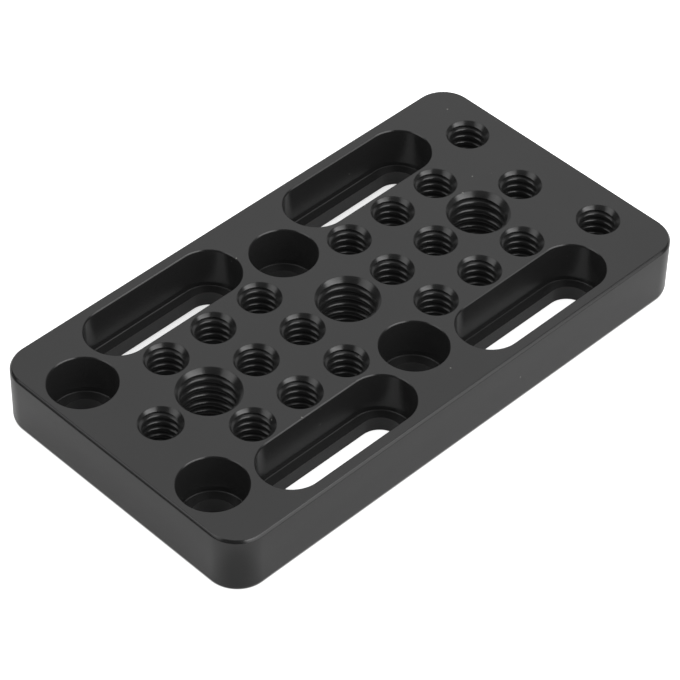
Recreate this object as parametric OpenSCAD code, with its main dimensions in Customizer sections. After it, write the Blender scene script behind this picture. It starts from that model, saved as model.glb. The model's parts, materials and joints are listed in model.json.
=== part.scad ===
// Flat mounting plate drilled with a grid of threaded holes, with four
// counterbored holes and four stepped slots. Long axis along X, underside on
// Z = 0, centred on the origin in plan. The end with the two extra threaded
// holes faces +X.

/* [Plate] */
// Overall length along X
plate_len = 90; // [89:0.5:110]
// Overall width along Y
plate_w = 49.2; // [48.4:0.2:62]
// Thickness along Z
plate_t = 9.5; // [8.4:0.1:14]
// Radius of the four upright corners
corner_r = 5; // [2:0.1:7]
// Chamfer round the top and bottom edges
edge_chamfer = 0.4; // [0.1:0.05:0.9]

/* [Threaded holes] */
// Distance between neighbouring hole stations along X
pitch_x = 9; // [8.9:0.05:9.3]
// Distance between neighbouring rows along Y
pitch_y = 8.85; // [8.5:0.05:9.1]
// Wall diameter of a small hole, the drill size for its thread
small_d = 5.1; // [4.4:0.05:5.6]
// Mouth diameter of a small hole's chamfer
small_mouth_d = 6.6; // [6:0.05:6.9]
// Wall diameter of a large hole, the drill size for its thread
large_d = 7.94; // [7:0.02:8.4]
// Mouth diameter of a large hole's chamfer
large_mouth_d = 9.64; // [9:0.02:9.9]
// Distance from the plate's ends to the end holes and the outer counterbored holes
end_inset = 6.4; // [5.6:0.1:7.2]

/* [Counterbored holes] */
// Distance of counterbored and end holes from the centreline along Y
side_y = 13.3; // [12:0.1:15]
// Counterbore diameter
cbore_d = 10; // [8:0.1:10.4]
// Counterbore depth from the top face
cbore_depth = 6.6; // [4:0.1:7.4]
// Diameter of the clear hole below the counterbore
cbore_hole_d = 6.8; // [5:0.1:7.6]

/* [Slots] */
// Distance of a slot's middle from the plate's middle along X
slot_x = 19.5; // [18.6:0.1:20.4]
// Distance of a slot's middle from the centreline along Y
slot_y = 17.7; // [17.6:0.1:18.4]
// End to end length of the upper pocket
slot_len = 27.1; // [20:0.1:28]
// Width of the upper pocket
slot_w = 9.8; // [8:0.1:10]
// Depth of the upper pocket from the top face
slot_depth = 6.9; // [4:0.1:7.6]
// Width of the ledge left all round between pocket and clear slot
slot_ledge = 1.6; // [0.8:0.05:2.4]
// Small 45 degree break on the rims of the counterbores, clear holes and slots
rim_break = 0.12; // [0.05:0.01:0.3]
// Small corner left where a counterbore's or pocket's wall meets its floor
floor_corner = 0.2; // [0.05:0.05:0.5]

/* [Hidden] */
$fn = 72;
over = 1;
half_x = plate_len / 2;
half_y = plate_w / 2;
end_x = half_x - end_inset;
large_stations = [-3, 0, 3];
small_stations = [-4, -2, -1, 1, 2, 4];
row_stations = [-3, -2, -1, 1, 2, 3];

// Outline of a bar with all four long edges chamfered, standing on its base
module bar_section(width) {
    a = width / 2;
    b = a - edge_chamfer;
    polygon([[-b, 0], [b, 0], [a, edge_chamfer], [a, plate_t - edge_chamfer],
        [b, plate_t], [-b, plate_t], [-a, plate_t - edge_chamfer], [-a, edge_chamfer]]);
}

// Upright corner post with the same chamfer at both ends
module corner_post() {
    rotate_extrude()
        polygon([[0, 0], [corner_r - edge_chamfer, 0], [corner_r, edge_chamfer],
            [corner_r, plate_t - edge_chamfer], [corner_r - edge_chamfer, plate_t], [0, plate_t]]);
}

// Solid plate with round corners and chamfered edges, before any hole
module blank() {
    rotate([90, 0, 90]) linear_extrude(height = plate_len - 2 * corner_r, center = true)
        bar_section(plate_w);
    rotate([90, 0, 0]) linear_extrude(height = plate_w - 2 * corner_r, center = true)
        bar_section(plate_len);
    for (sx = [-1, 1], sy = [-1, 1])
        translate([sx * (half_x - corner_r), sy * (half_y - corner_r), 0]) corner_post();
}

// Threaded hole, cut at drill size, with a 45 degree mouth on both faces
module tapped(wall_d, mouth_d) {
    flare = (mouth_d - wall_d) / 2;
    translate([0, 0, -over]) cylinder(d = wall_d, h = plate_t + 2 * over);
    translate([0, 0, plate_t - flare])
        cylinder(d1 = wall_d, d2 = mouth_d + 2 * over, h = flare + over);
    translate([0, 0, -over])
        cylinder(d1 = mouth_d + 2 * over, d2 = wall_d, h = flare + over);
}

// Counterbored hole with its rims broken
module counterbored() {
    translate([0, 0, -over]) cylinder(d = cbore_hole_d, h = plate_t + 2 * over);
    translate([0, 0, plate_t - cbore_depth])
        cylinder(d1 = cbore_d - 2 * floor_corner, d2 = cbore_d, h = floor_corner);
    translate([0, 0, plate_t - cbore_depth + floor_corner])
        cylinder(d = cbore_d, h = cbore_depth - floor_corner + over);
    translate([0, 0, plate_t - rim_break])
        cylinder(d1 = cbore_d, d2 = cbore_d + 2 * (rim_break + over), h = rim_break + over);
    translate([0, 0, -over])
        cylinder(d1 = cbore_hole_d + 2 * (rim_break + over), d2 = cbore_hole_d, h = rim_break + over);
}

// Upright prism with a round-ended outline
module round_ended(length, width, height) {
    run = length - width;
    translate([-run / 2, -width / 2, 0]) cube([run, width, height]);
    for (s = [-1, 1]) translate([s * run / 2, 0, 0]) cylinder(d = width, h = height);
}

// The same outline, growing by its own height all round as it rises
module round_ended_flare(length, width, height) {
    run = length - width;
    a = width / 2;
    rotate([90, 0, 90]) linear_extrude(height = run, center = true)
        polygon([[-a, 0], [a, 0], [a + height, height], [-a - height, height]]);
    for (s = [-1, 1]) translate([s * run / 2, 0, 0])
        cylinder(d1 = width, d2 = width + 2 * height, h = height);
}

// Stepped slot: a wide pocket above a narrower clear slot
module stepped_slot() {
    clear_len = slot_len - 2 * slot_ledge;
    clear_w = slot_w - 2 * slot_ledge;
    translate([0, 0, -over]) round_ended(clear_len, clear_w, plate_t);
    translate([0, 0, plate_t - slot_depth])
        round_ended_flare(slot_len - 2 * floor_corner, slot_w - 2 * floor_corner, floor_corner);
    translate([0, 0, plate_t - slot_depth + floor_corner])
        round_ended(slot_len, slot_w, slot_depth - floor_corner + over);
    translate([0, 0, plate_t - rim_break])
        round_ended_flare(slot_len, slot_w, rim_break + over);
    translate([0, 0, rim_break]) rotate([180, 0, 0])
        round_ended_flare(clear_len, clear_w, rim_break + over);
}

module plate() {
    color([0.17, 0.17, 0.175])
    difference() {
        blank();
        for (i = large_stations) translate([i * pitch_x, 0, 0]) tapped(large_d, large_mouth_d);
        for (i = small_stations) translate([i * pitch_x, 0, 0]) tapped(small_d, small_mouth_d);
        for (i = row_stations, s = [-1, 1])
            translate([i * pitch_x, s * pitch_y, 0]) tapped(small_d, small_mouth_d);
        for (s = [-1, 1]) {
            translate([end_x, s * side_y, 0]) tapped(small_d, small_mouth_d);
            for (x = [0, -end_x]) translate([x, s * side_y, 0]) counterbored();
            for (x = [-slot_x, slot_x]) translate([x, s * slot_y, 0]) stepped_slot();
        }
    }
}

plate();
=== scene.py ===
import json
import math

import bmesh
import bpy
from mathutils import Matrix, Vector


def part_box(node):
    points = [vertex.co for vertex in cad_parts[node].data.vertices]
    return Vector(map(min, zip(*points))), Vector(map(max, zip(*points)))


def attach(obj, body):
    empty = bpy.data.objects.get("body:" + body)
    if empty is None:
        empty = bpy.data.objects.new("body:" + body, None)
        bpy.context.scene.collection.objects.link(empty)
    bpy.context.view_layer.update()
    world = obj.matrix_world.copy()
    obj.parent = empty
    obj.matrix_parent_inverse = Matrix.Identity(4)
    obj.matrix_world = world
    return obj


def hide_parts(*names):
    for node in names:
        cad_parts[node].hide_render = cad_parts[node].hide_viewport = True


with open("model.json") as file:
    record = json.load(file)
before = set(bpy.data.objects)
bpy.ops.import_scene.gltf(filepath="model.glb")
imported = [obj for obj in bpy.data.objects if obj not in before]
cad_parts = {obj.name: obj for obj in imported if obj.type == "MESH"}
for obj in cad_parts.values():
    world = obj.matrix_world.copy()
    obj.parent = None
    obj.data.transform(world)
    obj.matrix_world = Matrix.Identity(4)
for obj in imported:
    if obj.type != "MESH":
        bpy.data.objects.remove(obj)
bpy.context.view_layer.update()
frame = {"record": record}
MM = 0.001

# Sizes and places of the plate and its openings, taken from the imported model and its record
low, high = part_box("plate")
THICK = high[2] - low[2]
HALF_X, HALF_Y = (high[0] - low[0]) / 2, (high[1] - low[1]) / 2
mounts = frame["record"]["mounts"]
threaded_holes = [m for m in mounts if m["kind"] == "threaded_hole"]
clear_holes = [m for m in mounts if m["kind"] == "bore"]
slots = next(m for m in mounts if m["name"] == "slots")
SLOT_X, SLOT_Y = slots["dims"]["spacing_x_mm"] / 2 * MM, slots["dims"]["spacing_y_mm"] / 2 * MM

# Sizes that the record doesn't hold: the plate's corners and softened edge break, the breaks on rims
CORNER = 5 * MM
EDGE_IN, EDGE_DOWN, EDGE_SOFT = 0.36 * MM, 0.44 * MM, 0.1 * MM
RIM, FLOOR_CORNER = 0.18 * MM, 0.2 * MM
MOUTH_SOFT, MOUTH_OVERLAP = 0.05 * MM, 0.3 * MM
# counterbores, slot pockets and the ledge between a pocket and its clear slot
CBORE_R, CBORE_DEPTH = 5.0 * MM, 6.6 * MM
POCKET_L, POCKET_W, POCKET_DEPTH = 27.1 * MM, 9.8 * MM, 6.9 * MM
LEDGE = 1.6 * MM

# Threads: outer radius, pitch, mouth radius, rounding of the crest, columns round the hole and the
# angle at which the helix starts, in degrees
SMALL = {"outer": 3.19 * MM, "pitch": 1.27 * MM, "mouth": 3.3 * MM, "crest_round": 0.19 * MM,
         "columns": 56, "start": 132}
LARGE = {"outer": 4.78 * MM, "pitch": 1.5875 * MM, "mouth": 4.82 * MM, "crest_round": 0.26 * MM,
         "columns": 80, "start": -16}
LARGE_WALL = 3 * MM
FLANK_ANGLE = math.radians(30)
FLANK_START = 0.03 * MM
TURNS_BELOW, TURNS_ABOVE = 1.6, 0.6

# Facets round a circle and round a corner, and how far a cutting solid reaches past a face
ROUND, QUARTER = 72, 18
OVER = 1 * MM
# An edge is shaded hard where the surface turns by more than this
HARD_TURN = math.radians(38)


# Mesh code
def mesh_object(name, verts, faces):
    mesh = bpy.data.meshes.new(name)
    mesh.from_pydata(verts, [], faces)
    bm = bmesh.new()
    bm.from_mesh(mesh)
    bmesh.ops.recalc_face_normals(bm, faces=bm.faces)
    bm.to_mesh(mesh)
    bm.free()
    obj = bpy.data.objects.new(name, mesh)
    bpy.context.scene.collection.objects.link(obj)
    return obj


def add(store, solid):
    """Puts one closed surface into a shared (verts, faces) store."""
    base = len(store[0])
    store[0].extend(solid[0])
    store[1].extend(tuple(base + i for i in f) for f in solid[1])


def stack(rings, centre=(0, 0)):
    """Closed solid through horizontal rings [(z, [(x, y), ...]), ...] with a flat cap at each end."""
    n = len(rings[0][1])
    verts = [(centre[0] + x, centre[1] + y, z) for z, ring in rings for x, y in ring]
    faces = []
    for k in range(len(rings) - 1):
        for i in range(n):
            j = (i + 1) % n
            faces.append((k * n + i, k * n + j, (k + 1) * n + j, (k + 1) * n + i))
    faces.append(tuple(range(n))[::-1])
    faces.append(tuple((len(rings) - 1) * n + i for i in range(n)))
    return verts, faces


def circle(r):
    turns = [2 * math.pi * i / ROUND for i in range(ROUND)]
    return [(r * math.cos(a), r * math.sin(a)) for a in turns]


def rounded(hx, hy, r):
    """Rectangle of half sizes hx, hy with corners of radius r."""
    pts = []
    for sx, sy, start in ((1, 1, 0), (-1, 1, 90), (-1, -1, 180), (1, -1, 270)):
        for i in range(QUARTER + 1):
            a = math.radians(start + 90 * i / QUARTER)
            pts.append((sx * (hx - r) + r * math.cos(a), sy * (hy - r) + r * math.sin(a)))
    same_place = 1e-7
    return [p for k, p in enumerate(pts) if math.dist(p, pts[k - 1]) > same_place]


def plate_outline(inset):
    return rounded(HALF_X - inset, HALF_Y - inset, CORNER - inset)


def pocket_outline(grow):
    """Round-ended outline of a slot's pocket, grown or shrunk all round."""
    half_width = POCKET_W / 2 + grow
    hair = 1e-8
    return rounded(POCKET_L / 2 + grow, half_width, half_width - hair)


def soft_edge(inset, depth, soft):
    """An edge break with its two corners softened: [(inset, depth), ...] from the side to the face."""
    size = math.hypot(inset, depth)
    u, v = soft * inset / size, soft * depth / size
    along, aside = 0.26, 0.1
    return [(0, depth + soft), (along * u, depth + aside * v), (u, depth - v),
            (inset - u, v), (inset + aside * u, along * v), (inset + soft, 0)]


def plate_solid():
    """The plate without its holes, its edge break all round both faces."""
    edge = soft_edge(EDGE_IN, EDGE_DOWN, EDGE_SOFT)
    top = [(THICK - depth, plate_outline(inset)) for inset, depth in edge]
    bottom = [(depth, plate_outline(inset)) for inset, depth in reversed(edge)]
    return stack(bottom + top)


def thread_profile(spec, wall):
    """One turn of the thread: [(height above the turn's start, radius), ...] up to the next turn."""
    pitch, outer, t = spec["pitch"], spec["outer"], spec["crest_round"]
    flank = (outer - wall) * math.tan(FLANK_ANGLE)
    root = pitch / 8
    crest = pitch - root - 2 * flank
    rho = t / math.tan(FLANK_ANGLE)
    arc = [(crest - t + rho * math.sin(a), wall + rho * (1 - math.cos(a)))
           for a in (math.radians(degrees) for degrees in (0, 30, 60))]
    arc_z, arc_r = arc[-1]
    flank_start = (arc_z + FLANK_START * math.sin(FLANK_ANGLE), arc_r + FLANK_START * math.cos(FLANK_ANGLE))
    return [(0.0, wall), (crest - t - FLANK_START, wall), *arc, flank_start,
            (crest + flank, outer), (crest + flank + root, outer)]


def thread_solid(spec, wall, x, y):
    """The space a tap leaves: a closed screw whose rows follow the helix, so every crest is a clean line."""
    pitch, n = spec["pitch"], spec["columns"]
    profile = thread_profile(spec, wall)
    m = len(profile)
    first = -TURNS_BELOW * pitch
    rows = m * int(math.ceil((THICK - first) / pitch + TURNS_ABOVE))
    verts = []
    for j in range(rows):
        dz, r = profile[j % m]
        for i in range(n):
            a = 2 * math.pi * i / n + math.radians(spec["start"])
            verts.append((x + r * math.cos(a), y + r * math.sin(a), first + (j // m + i / n) * pitch + dz))

    def v(i, j):
        return j * n + i

    faces = [(v(i, j), v(i + 1, j), v(i + 1, j + 1), v(i, j + 1))
             for j in range(rows - 1) for i in range(n - 1)]
    # the last column joins the first, one turn up
    faces += [(v(n - 1, j), v(0, j + m), v(0, j + m + 1), v(n - 1, j + 1)) for j in range(rows - 1 - m)]
    ends = (
        [v(i, 0) for i in range(n)] + [v(0, j) for j in range(m, 0, -1)],
        [v(i, rows - 1) for i in range(n)] + [v(n - 1, j) for j in range(rows - 2, rows - 2 - m, -1)],
    )
    for loop in ends:
        centre = len(verts)
        heights = [verts[k][2] for k in loop]
        verts.append((x, y, (min(heights) + max(heights)) / 2))
        faces += [(centre, loop[k - 1], loop[k]) for k in range(len(loop))]
    return verts, faces


def mouth_solid(wall, big, x, y, top):
    """Cone of a hole's 45 degree mouth, a touch rounded where it meets the face."""
    s = 1 if top else -1
    face = THICK if top else 0.0
    inner = wall - MOUTH_OVERLAP
    # the rounding, as depth below the face and width past the mouth, in parts of its size
    rounding = ((1, -1), (0.3, -0.12), (0, 0.6))
    rings = [(face - s * (big - inner), inner)]
    rings += [(face - s * MOUTH_SOFT * down, big + MOUTH_SOFT * out) for down, out in rounding]
    rings.append((face + s * OVER, rings[-1][1]))
    rings = [(z, circle(r)) for z, r in rings]
    return stack(rings if top else rings[::-1], (x, y))


def stepped_solid(outline, x, y, depth, step):
    """Pocket above a clear opening: outline(grow) is the pocket's outline, outline(-step) the opening's."""
    floor_z = THICK - depth
    # the rims and the floor's corner, as height and width from the face or the floor, in parts of their size
    lower_rim = ((0, 1), (0.6, 0.1), (1.4, 0))
    floor_corner = ((0, -1), (0.3, -0.3), (1, 0))
    upper_rim = ((1.4, 0), (0.6, 0.25), (0, 1))
    rings = [(-OVER, RIM - step)]
    rings += [(RIM * up, RIM * out - step) for up, out in lower_rim]
    rings.append((floor_z, -step))
    rings += [(floor_z + FLOOR_CORNER * up, FLOOR_CORNER * out) for up, out in floor_corner]
    rings += [(THICK - RIM * down, RIM * out) for down, out in upper_rim]
    rings.append((THICK + OVER, RIM))
    return stack([(z, outline(grow)) for z, grow in rings], (x, y))


def cut(body, store, name):
    tool = mesh_object(name, *store)
    mod = body.modifiers.new(name, "BOOLEAN")
    mod.operation, mod.object, mod.solver = "DIFFERENCE", tool, "MANIFOLD"
    graph = bpy.context.evaluated_depsgraph_get()
    mesh = bpy.data.meshes.new_from_object(body.evaluated_get(graph))
    body.modifiers.clear()
    old, used = body.data, tool.data
    body.data = mesh
    bpy.data.objects.remove(tool)
    bpy.data.meshes.remove(old)
    bpy.data.meshes.remove(used)


def sharpen(obj):
    """Smooth shading, with a hard edge wherever the surface turns, and all round every flat face."""
    weld, level_z = 2e-7, 0.9995
    limit = math.cos(HARD_TURN)
    bm = bmesh.new()
    bm.from_mesh(obj.data)
    bmesh.ops.remove_doubles(bm, verts=bm.verts, dist=weld)
    bmesh.ops.dissolve_degenerate(bm, edges=bm.edges, dist=weld)
    bm.normal_update()
    for f in bm.faces:
        f.smooth = True
    for e in bm.edges:
        if len(e.link_faces) != 2:
            continue
        a, b = (f.normal for f in e.link_faces)
        leaves_flat = (abs(a.z) > level_z) != (abs(b.z) > level_z)
        e.smooth = a.dot(b) > limit and not leaves_flat
    bm.to_mesh(obj.data)
    bm.free()
    obj.data.update()


# The plate: threads, counterbores and slots are cut first, then the threaded holes' mouths
plate = mesh_object("plate_machined", *plate_solid())
openings, mouths = ([], []), ([], [])
for m in threaded_holes:
    wall = m["dims"]["r_mm"] * MM
    x, y = m["pos_m"][:2]
    spec = LARGE if wall > LARGE_WALL else SMALL
    add(openings, thread_solid(spec, wall, x, y))
    for top in (True, False):
        add(mouths, mouth_solid(wall, spec["mouth"], x, y, top))
for m in clear_holes:
    x, y = m["pos_m"][:2]
    step = CBORE_R - m["dims"]["r_mm"] * MM
    add(openings, stepped_solid(lambda grow: circle(CBORE_R + grow), x, y, CBORE_DEPTH, step))
for sx in (-1, 1):
    for sy in (-1, 1):
        add(openings, stepped_solid(pocket_outline, sx * SLOT_X, sy * SLOT_Y, POCKET_DEPTH, LEDGE))
cut(plate, openings, "cut_bores")
cut(plate, mouths, "cut_mouths")
sharpen(plate)


# Shader code
def node(tree, kind, **values):
    """Adds a node. A name that starts with in_ sets an input, any other one a setting."""
    n = tree.nodes.new(kind)
    for k, val in values.items():
        if k.startswith("in_"):
            n.inputs[k[3:].replace("_", " ")].default_value = val
        else:
            setattr(n, k, val)
    return n


def maths(tree, operation, a, b=None):
    """Math node on sockets or numbers; gives its output socket."""
    n = tree.nodes.new("ShaderNodeMath")
    n.operation = operation
    for k, val in enumerate((a, b)):
        if isinstance(val, (int, float)):
            n.inputs[k].default_value = val
        elif val is not None:
            tree.links.new(val, n.inputs[k])
    return n.outputs[0]


def spread(tree, value, low_end, high_end, start=0.0, end=1.0):
    """Maps value from start..end to low_end..high_end."""
    n = node(tree, "ShaderNodeMapRange", in_To_Min=low_end, in_To_Max=high_end)
    n.inputs["From Min"].default_value, n.inputs["From Max"].default_value = start, end
    tree.links.new(value, n.inputs["Value"])
    return n.outputs["Result"]


def within(tree, value, half, soft):
    """1 where the size of value stays below half, falling softly to 0 over soft."""
    n = node(tree, "ShaderNodeMapRange", interpolation_type="SMOOTHSTEP", in_To_Min=1.0, in_To_Max=0.0)
    n.inputs["From Min"].default_value = half - soft / 2
    n.inputs["From Max"].default_value = half + soft / 2
    tree.links.new(maths(tree, "ABSOLUTE", value), n.inputs["Value"])
    return n.outputs["Result"]


def grey(tree, value):
    n = tree.nodes.new("ShaderNodeCombineColor")
    for channel in ("Red", "Green", "Blue"):
        tree.links.new(value, n.inputs[channel])
    return n.outputs["Color"]


def empty_material(name):
    material = bpy.data.materials.new(name)
    material.use_nodes = True
    material.node_tree.nodes.clear()
    return material, material.node_tree


# Black anodised finish: dark base with slow clouds, changing gloss, a blasted grain and a little dust
CLOUD_SCALE, CLOUD_SHADES = 90.0, (0.0105, 0.0155)
GLOSS_SCALE, ROUGHNESS = 260.0, (0.17, 0.25)
GRAIN_SCALE, GRAIN_STRENGTH, GRAIN_HEIGHT = 9000.0, 0.12, 0.03 * MM
DUST_SCALE, DUST_EDGE, DUST_SHARE = 320.0, (0.05, 0.035), 0.3
DUST_COLOUR = (0.14, 0.14, 0.13, 1)


def noise(tree, coords, scale, detail):
    n = node(tree, "ShaderNodeTexNoise", in_Scale=scale, in_Detail=detail)
    tree.links.new(coords, n.inputs["Vector"])
    return n.outputs["Fac"]


def anodised_material():
    material, t = empty_material("black_anodised")
    out = t.nodes.new("ShaderNodeOutputMaterial")
    bsdf = t.nodes.new("ShaderNodeBsdfPrincipled")
    bsdf.inputs["Metallic"].default_value = 0.0
    bsdf.inputs["IOR"].default_value = 1.5
    # painted glow: a faint even emission over the whole plate that lifts the deepest blacks, as the lens's
    # haze does
    bsdf.inputs["Emission Color"].default_value = (1, 1, 1, 1)
    bsdf.inputs["Emission Strength"].default_value = 0.0024
    coords = t.nodes.new("ShaderNodeTexCoord").outputs["Object"]

    base = grey(t, spread(t, noise(t, coords, CLOUD_SCALE, 4.0), *CLOUD_SHADES))
    # grains of dust lie where a random point is right at the surface
    points = node(t, "ShaderNodeTexVoronoi", in_Scale=DUST_SCALE, in_Randomness=1.0)
    t.links.new(coords, points.inputs["Vector"])
    grains = spread(t, points.outputs["Distance"], 0.0, 1.0, *DUST_EDGE)
    pick = t.nodes.new("ShaderNodeSeparateColor")
    t.links.new(points.outputs["Color"], pick.inputs["Color"])
    dusty = node(t, "ShaderNodeMix", data_type="RGBA")
    dust = maths(t, "MULTIPLY", grains, maths(t, "LESS_THAN", pick.outputs["Red"], DUST_SHARE))
    t.links.new(dust, dusty.inputs["Factor"])
    t.links.new(base, dusty.inputs["A"])
    dusty.inputs["B"].default_value = DUST_COLOUR
    t.links.new(dusty.outputs["Result"], bsdf.inputs["Base Color"])

    t.links.new(spread(t, noise(t, coords, GLOSS_SCALE, 3.0), *ROUGHNESS), bsdf.inputs["Roughness"])
    bump = node(t, "ShaderNodeBump", in_Strength=GRAIN_STRENGTH, in_Distance=GRAIN_HEIGHT)
    t.links.new(noise(t, coords, GRAIN_SCALE, 2.0), bump.inputs["Height"])
    t.links.new(bump.outputs["Normal"], bsdf.inputs["Normal"])
    t.links.new(bsdf.outputs["BSDF"], out.inputs["Surface"])
    return material


plate.data.materials.clear()
plate.data.materials.append(anodised_material())
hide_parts("plate")
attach(plate, "root")

# White paper under the plate. Its own glow, to the camera and, weaker, to the metal's reflections; below the
# slots that glow is painted light, weaker below the rear slots as painted shade
FLOOR_HALF, FLOOR_GAP = 2, 0.05 * MM
GLOW, REAR_SLOT_PAINTED_SHADE = 0.9, 0.27
GLOW_TO_METAL, SLOT_GLOW_TO_METAL = 0.08, 0.13
# and its shade of white, with painted shade taken off it: a painted contact shadow right at the plate's foot,
# painted shade under the plate and in the near corner
PAPER, CONTACT_PAINTED_SHADOW, COVERED_PAINTED_SHADE, CORNER_PAINTED_SHADE = 0.86, 0.4, 0.1, 0.28


def covered_by_plate(tree, place, shrink, soft):
    """1 under the plate's rounded outline, drawn in by shrink, falling softly to 0 round it."""
    beyond = []
    for axis, half in (("X", HALF_X), ("Y", HALF_Y)):
        past = maths(tree, "SUBTRACT", maths(tree, "ABSOLUTE", place.outputs[axis]), half - CORNER)
        beyond.append(maths(tree, "MAXIMUM", past, 0.0))
    reach = maths(tree, "SQRT", maths(tree, "ADD", *[maths(tree, "MULTIPLY", b, b) for b in beyond]))
    return within(tree, reach, CORNER - shrink, soft)


def under_slots(tree, place):
    """1 below the four slots, taken as rectangles."""
    sides = []
    for axis, middle, size in (("X", SLOT_X, POCKET_L), ("Y", SLOT_Y, POCKET_W - 2 * MM)):
        off = maths(tree, "SUBTRACT", maths(tree, "ABSOLUTE", place.outputs[axis]), middle)
        sides.append(maths(tree, "LESS_THAN", maths(tree, "ABSOLUTE", off), size / 2))
    return maths(tree, "MULTIPLY", *sides)


def near_corner(tree, position):
    """1 on the shadier patch that the near corner stands on."""
    n = node(tree, "ShaderNodeVectorMath", operation="DISTANCE")
    tree.links.new(position, n.inputs[0])
    n.inputs[1].default_value = (-HALF_X - 1 * MM, -HALF_Y - 1.5 * MM, 0)
    return within(tree, n.outputs["Value"], 6 * MM, 8 * MM)


def paper_material():
    material, t = empty_material("white_floor")
    out = t.nodes.new("ShaderNodeOutputMaterial")
    path = t.nodes.new("ShaderNodeLightPath")
    geo = t.nodes.new("ShaderNodeNewGeometry")
    place = t.nodes.new("ShaderNodeSeparateXYZ")
    t.links.new(geo.outputs["Position"], place.inputs[0])

    covered = covered_by_plate(t, place, 0.15 * MM, 0.3 * MM)
    # painted contact shadow: a narrow ring of darker paper right at the plate's foot
    contact_shadow_mask = maths(t, "SUBTRACT", covered, covered_by_plate(t, place, 1.2 * MM, 0.6 * MM))
    open_sky = maths(t, "SUBTRACT", 1.0, covered)
    # painted shade on the paper in front of the near corner, in its white and in its glow to the metal's
    # reflections
    corner_shade_patch = near_corner(t, geo.outputs["Position"])
    slot = under_slots(t, place)
    rear_slot = maths(t, "MULTIPLY", slot, maths(t, "GREATER_THAN", place.outputs["Y"], 0.0))

    # painted light on the paper below the slots, where light falls through them, with painted shade taking
    # some of it off below the rear slots
    painted_light_in_slots = maths(t, "SUBTRACT", maths(t, "MULTIPLY", slot, GLOW),
                     maths(t, "MULTIPLY", rear_slot, REAR_SLOT_PAINTED_SHADE))
    to_camera = maths(t, "ADD", maths(t, "MULTIPLY", open_sky, GLOW), painted_light_in_slots)
    # the glow to the metal's reflections is left out in the near corner, as painted shade
    around = maths(t, "MULTIPLY", open_sky, maths(t, "SUBTRACT", 1.0, corner_shade_patch))
    to_metal = maths(t, "ADD", maths(t, "MULTIPLY", around, GLOW_TO_METAL),
                     maths(t, "MULTIPLY", painted_light_in_slots, SLOT_GLOW_TO_METAL))
    seen = maths(t, "MAXIMUM", path.outputs["Is Camera Ray"], path.outputs["Is Transmission Ray"])
    strength = maths(t, "ADD", maths(t, "MULTIPLY", seen, to_camera),
                     maths(t, "MULTIPLY", path.outputs["Is Glossy Ray"], to_metal))
    glow = t.nodes.new("ShaderNodeEmission")
    t.links.new(strength, glow.inputs["Strength"])

    # painted shade: the paper made darker under the plate and in the near corner
    painted_shade = maths(t, "ADD", maths(t, "MULTIPLY", corner_shade_patch, CORNER_PAINTED_SHADE),
                 maths(t, "MULTIPLY", covered, COVERED_PAINTED_SHADE))
    # the paper's white with the painted contact shadow taken off
    white = maths(t, "SUBTRACT", PAPER, maths(t, "MULTIPLY", contact_shadow_mask, CONTACT_PAINTED_SHADOW))
    albedo = maths(t, "SUBTRACT", white, painted_shade)
    diffuse = t.nodes.new("ShaderNodeBsdfDiffuse")
    t.links.new(grey(t, albedo), diffuse.inputs["Color"])
    lit = t.nodes.new("ShaderNodeAddShader")
    t.links.new(diffuse.outputs[0], lit.inputs[0])
    t.links.new(glow.outputs[0], lit.inputs[1])
    # from below it is clear, so the plate's underside can be looked at
    through = t.nodes.new("ShaderNodeBsdfTransparent")
    sided = t.nodes.new("ShaderNodeMixShader")
    t.links.new(geo.outputs["Backfacing"], sided.inputs[0])
    t.links.new(lit.outputs[0], sided.inputs[1])
    t.links.new(through.outputs[0], sided.inputs[2])
    t.links.new(sided.outputs[0], out.inputs["Surface"])
    return material


corners = [(sx * FLOOR_HALF, sy * FLOOR_HALF, 0) for sx, sy in ((-1, -1), (1, -1), (1, 1), (-1, 1))]
floor = mesh_object("floor", corners, [(0, 1, 2, 3)])
floor.location.z = -FLOOR_GAP
floor.data.materials.append(paper_material())

# Surround of soft panels: azimuth from +X, elevation, width, height and softness in degrees, and level
PANELS = {
    "key": (-79.5, 31, 60, 56, 10, 2.4),
    "key_core": (-79, 38, 58, 14, 10, 3.6),
    "key_high": (-81, 66, 60, 14, 14, 1.2),
    "left": (156, 40, 46, 40, 12, 1.9),
    "left_core": (148, 38, 26, 28, 12, 0.6),
    "rear": (45, 45, 110, 34, 14, 1.2),
    "rear_low": (45, 15, 100, 28, 14, 0.5),
    "rear_side": (95, 40, 50, 30, 16, 0.2),
    "top": (45, 73, 170, 28, 14, 1.8),
    "top_front": (-150, 70, 160, 30, 16, 0.45),
    "right": (-22, 25, 60, 50, 20, 0.15),
}


def panel(tree, turn, lift, azimuth, elevation, width, height, soft):
    """Mask of one soft panel, from the azimuth and elevation of a direction."""
    wrap = node(tree, "ShaderNodeMath", operation="WRAP")
    tree.links.new(maths(tree, "SUBTRACT", turn, math.radians(azimuth)), wrap.inputs[0])
    wrap.inputs[1].default_value, wrap.inputs[2].default_value = math.pi, -math.pi
    across = within(tree, wrap.outputs[0], math.radians(width / 2), math.radians(soft))
    off = maths(tree, "SUBTRACT", lift, math.radians(elevation))
    along = within(tree, off, math.radians(height / 2), math.radians(soft))
    return maths(tree, "MULTIPLY", across, along)


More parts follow.
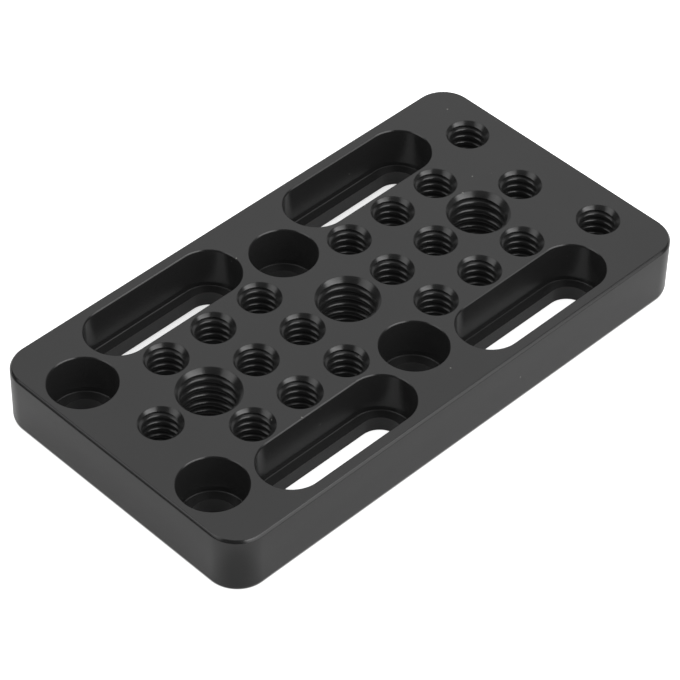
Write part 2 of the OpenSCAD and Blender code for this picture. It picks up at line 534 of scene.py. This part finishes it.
def surround():
    """World that is plain white to the camera and shows the panels to the object."""
    world = bpy.data.worlds.new("surround")
    world.use_nodes = True
    t = world.node_tree
    t.nodes.clear()
    out = t.nodes.new("ShaderNodeOutputWorld")
    back = t.nodes.new("ShaderNodeBackground")
    path = t.nodes.new("ShaderNodeLightPath")
    parts = t.nodes.new("ShaderNodeSeparateXYZ")
    t.links.new(t.nodes.new("ShaderNodeTexCoord").outputs["Generated"], parts.inputs[0])
    turn = maths(t, "ARCTAN2", parts.outputs["Y"], parts.outputs["X"])
    lift = maths(t, "ARCSINE", parts.outputs["Z"])
    total = 0.0
    for *place, level in PANELS.values():
        total = maths(t, "ADD", maths(t, "MULTIPLY", panel(t, turn, lift, *place), level), total)
    seen = maths(t, "MAXIMUM", path.outputs["Is Camera Ray"], path.outputs["Is Transmission Ray"])
    strength = t.nodes.new("ShaderNodeMix")
    t.links.new(seen, strength.inputs["Factor"])
    t.links.new(total, strength.inputs["A"])
    strength.inputs["B"].default_value = 1.0
    t.links.new(strength.outputs["Result"], back.inputs["Strength"])
    t.links.new(back.outputs[0], out.inputs["Surface"])
    return world


bpy.context.scene.world = surround()

# Camera: where it looks from, the point on the plate's top it looks at, and its lens in pixels of the picture
AZIMUTH, ELEVATION, ROLL = math.radians(-45.2825), math.radians(44.1849), math.radians(1.1945)
DISTANCE, TARGET = 431.611 * MM, Vector((-6.7459 * MM, -5.2648 * MM, THICK))
LENS_PX, IMAGE_PX, SENSOR = 3060.63, 680, 36


def matched_camera():
    data = bpy.data.cameras.new("camera")
    data.sensor_width = SENSOR
    data.lens = SENSOR * LENS_PX / IMAGE_PX
    data.clip_start, data.clip_end = 0.01, 10
    obj = bpy.data.objects.new("camera", data)
    bpy.context.scene.collection.objects.link(obj)
    flat = math.cos(ELEVATION)
    back = Vector((math.sin(AZIMUTH) * flat, -math.cos(AZIMUTH) * flat, math.sin(ELEVATION)))
    level = Vector((math.cos(AZIMUTH), math.sin(AZIMUTH), 0))
    upright = back.cross(level)
    right = level * math.cos(ROLL) + upright * math.sin(ROLL)
    up = upright * math.cos(ROLL) - level * math.sin(ROLL)
    obj.matrix_world = Matrix((
        (right.x, up.x, back.x, 0), (right.y, up.y, back.y, 0), (right.z, up.z, back.z, 0), (0, 0, 0, 1),
    ))
    obj.location = TARGET + back * DISTANCE
    return obj


camera = matched_camera()
bpy.context.scene.camera = camera
bpy.context.scene.view_settings.view_transform = "Standard"
